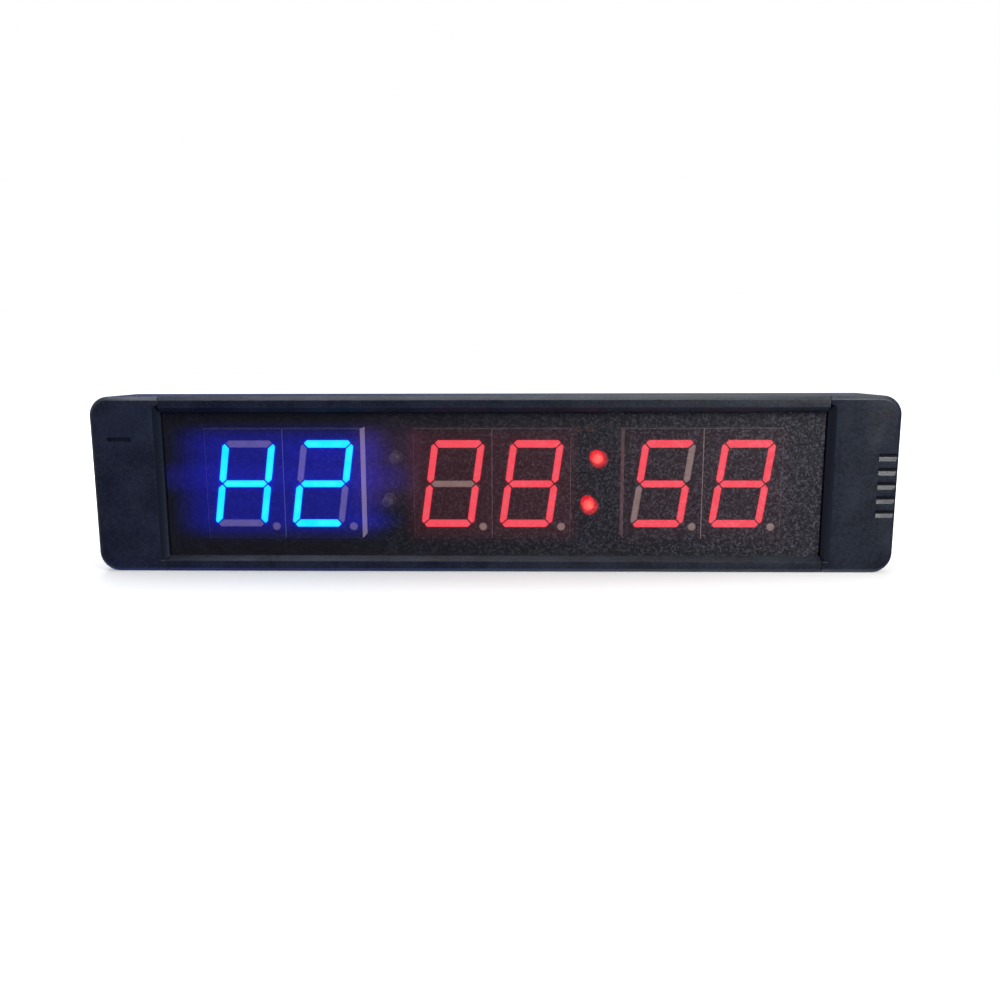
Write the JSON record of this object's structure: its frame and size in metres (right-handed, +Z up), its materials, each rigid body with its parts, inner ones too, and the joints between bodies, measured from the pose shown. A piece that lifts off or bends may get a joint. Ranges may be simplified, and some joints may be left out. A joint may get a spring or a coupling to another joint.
{
  "type": "interval timer display",
  "caption": "Wide low interval timer: seven-segment LED digits behind a tinted window, moulded end caps, wall keyholes and rear controls.",
  "frame": {"origin": "centre of the base, on the surface it stands on", "axes": "+X right seen from the front, +Y to the back, +Z up"},
  "size_m": [0.344, 0.032, 0.076],
  "materials": {
    "housing_abs": "fine moulded texture",
    "cap_abs": "fine moulded texture",
    "filter_acrylic": "tinted, one face frosted",
    "cover_abs": "moulded texture",
    "screw_steel": "black zinc plated",
    "board_laminate": "black solder mask",
    "carrier_laminate": "white solder mask",
    "led_die": "bare die",
    "tinned_wire": "bright tin",
    "chip_epoxy": "moulded",
    "can_metal": "drawn can",
    "holder_plastic": "moulded",
    "cell_steel": "satin",
    "resistor_ceramic": "glazed top",
    "capacitor_tan": "fired",
    "socket_plastic": "moulded",
    "socket_pin_metal": "nickel plated",
    "buzzer_plastic": "moulded",
    "switch_housing": "moulded",
    "slider_plastic": "moulded white",
    "button_plastic": "moulded",
    "plunger_plastic": "moulded",
    "colon_lit": "diffused red lens, lit",
    "colon_unlit": "water-clear lens, unlit",
    "ir_epoxy": "dark epoxy",
    "digit_shell_plastic": "white plastic, black ink on the face",
    "segment_lit_blue": "milky epoxy, lit",
    "segment_lit_red": "milky epoxy, lit",
    "segment_unlit": "milky epoxy, unlit"
  },
  "bodies": {
    "case": {"centre_housing": "housing_abs", "end_cap_left": "cap_abs", "end_cap_right": "cap_abs", "front_filter": "filter_acrylic", "rear_cover": "cover_abs", "rear_cover_screws": "screw_steel", "board_screws": "screw_steel", "main_board": "board_laminate", "digit_carrier_boards": "carrier_laminate", "digit_led_chips": "led_die", "digit_pins": "tinned_wire", "colon_led_leads": "tinned_wire", "ir_receiver_leads": "tinned_wire", "chip_leads": "tinned_wire", "microcontroller": "chip_epoxy", "display_drivers": "chip_epoxy", "clock_chip": "chip_epoxy", "voltage_regulator": "chip_epoxy", "clock_crystal": "can_metal", "electrolytic_capacitors": "can_metal", "coin_cell_holder": "holder_plastic", "coin_cell": "cell_steel", "chip_resistors": "resistor_ceramic", "front_capacitors": "capacitor_tan", "dc_socket_body": "socket_plastic", "dc_socket_pin": "socket_pin_metal", "buzzer": "buzzer_plastic", "power_switch_body": "switch_housing", "button_switch_bodies": "switch_housing", "colon_led_upper_right": "colon_lit", "colon_led_lower_right": "colon_lit", "colon_led_upper_left": "colon_unlit", "colon_led_lower_left": "colon_unlit", "ir_receiver": "ir_epoxy", "digit_1_shell": "digit_shell_plastic", "digit_1_lit_segments": "segment_lit_blue", "digit_1_unlit_segments": "segment_unlit", "digit_2_shell": "digit_shell_plastic", "digit_2_lit_segments": "segment_lit_blue", "digit_2_unlit_segments": "segment_unlit", "digit_3_shell": "digit_shell_plastic", "digit_3_lit_segments": "segment_lit_red", "digit_3_unlit_segments": "segment_unlit", "digit_4_shell": "digit_shell_plastic", "digit_4_lit_segments": "segment_lit_red", "digit_4_unlit_segments": "segment_unlit", "digit_5_shell": "digit_shell_plastic", "digit_5_lit_segments": "segment_lit_red", "digit_5_unlit_segments": "segment_unlit", "digit_6_shell": "digit_shell_plastic", "digit_6_lit_segments": "segment_lit_red", "digit_6_unlit_segments": "segment_unlit"},
    "power_slider": {"power_switch_slider": "slider_plastic"},
    "mode_button": {"mode_button_cap": "button_plastic", "mode_button_plunger": "plunger_plastic"},
    "up_button": {"up_button_cap": "button_plastic", "up_button_plunger": "plunger_plastic"},
    "down_button": {"down_button_cap": "button_plastic", "down_button_plunger": "plunger_plastic"}
  },
  "joints": [
    {"name": "power_slide", "type": "slide", "parent": "case", "child": "power_slider", "axis": [1, 0, 0], "range_m": [0, 0.002]},
    {"name": "mode_press", "type": "slide", "parent": "case", "child": "mode_button", "axis": [0, -1, 0], "range_m": [0, 0.0003], "stiffness_N_per_m": 4000},
    {"name": "up_press", "type": "slide", "parent": "case", "child": "up_button", "axis": [0, -1, 0], "range_m": [0, 0.0003], "stiffness_N_per_m": 4000},
    {"name": "down_press", "type": "slide", "parent": "case", "child": "down_button", "axis": [0, -1, 0], "range_m": [0, 0.0003], "stiffness_N_per_m": 4000}
  ]
}
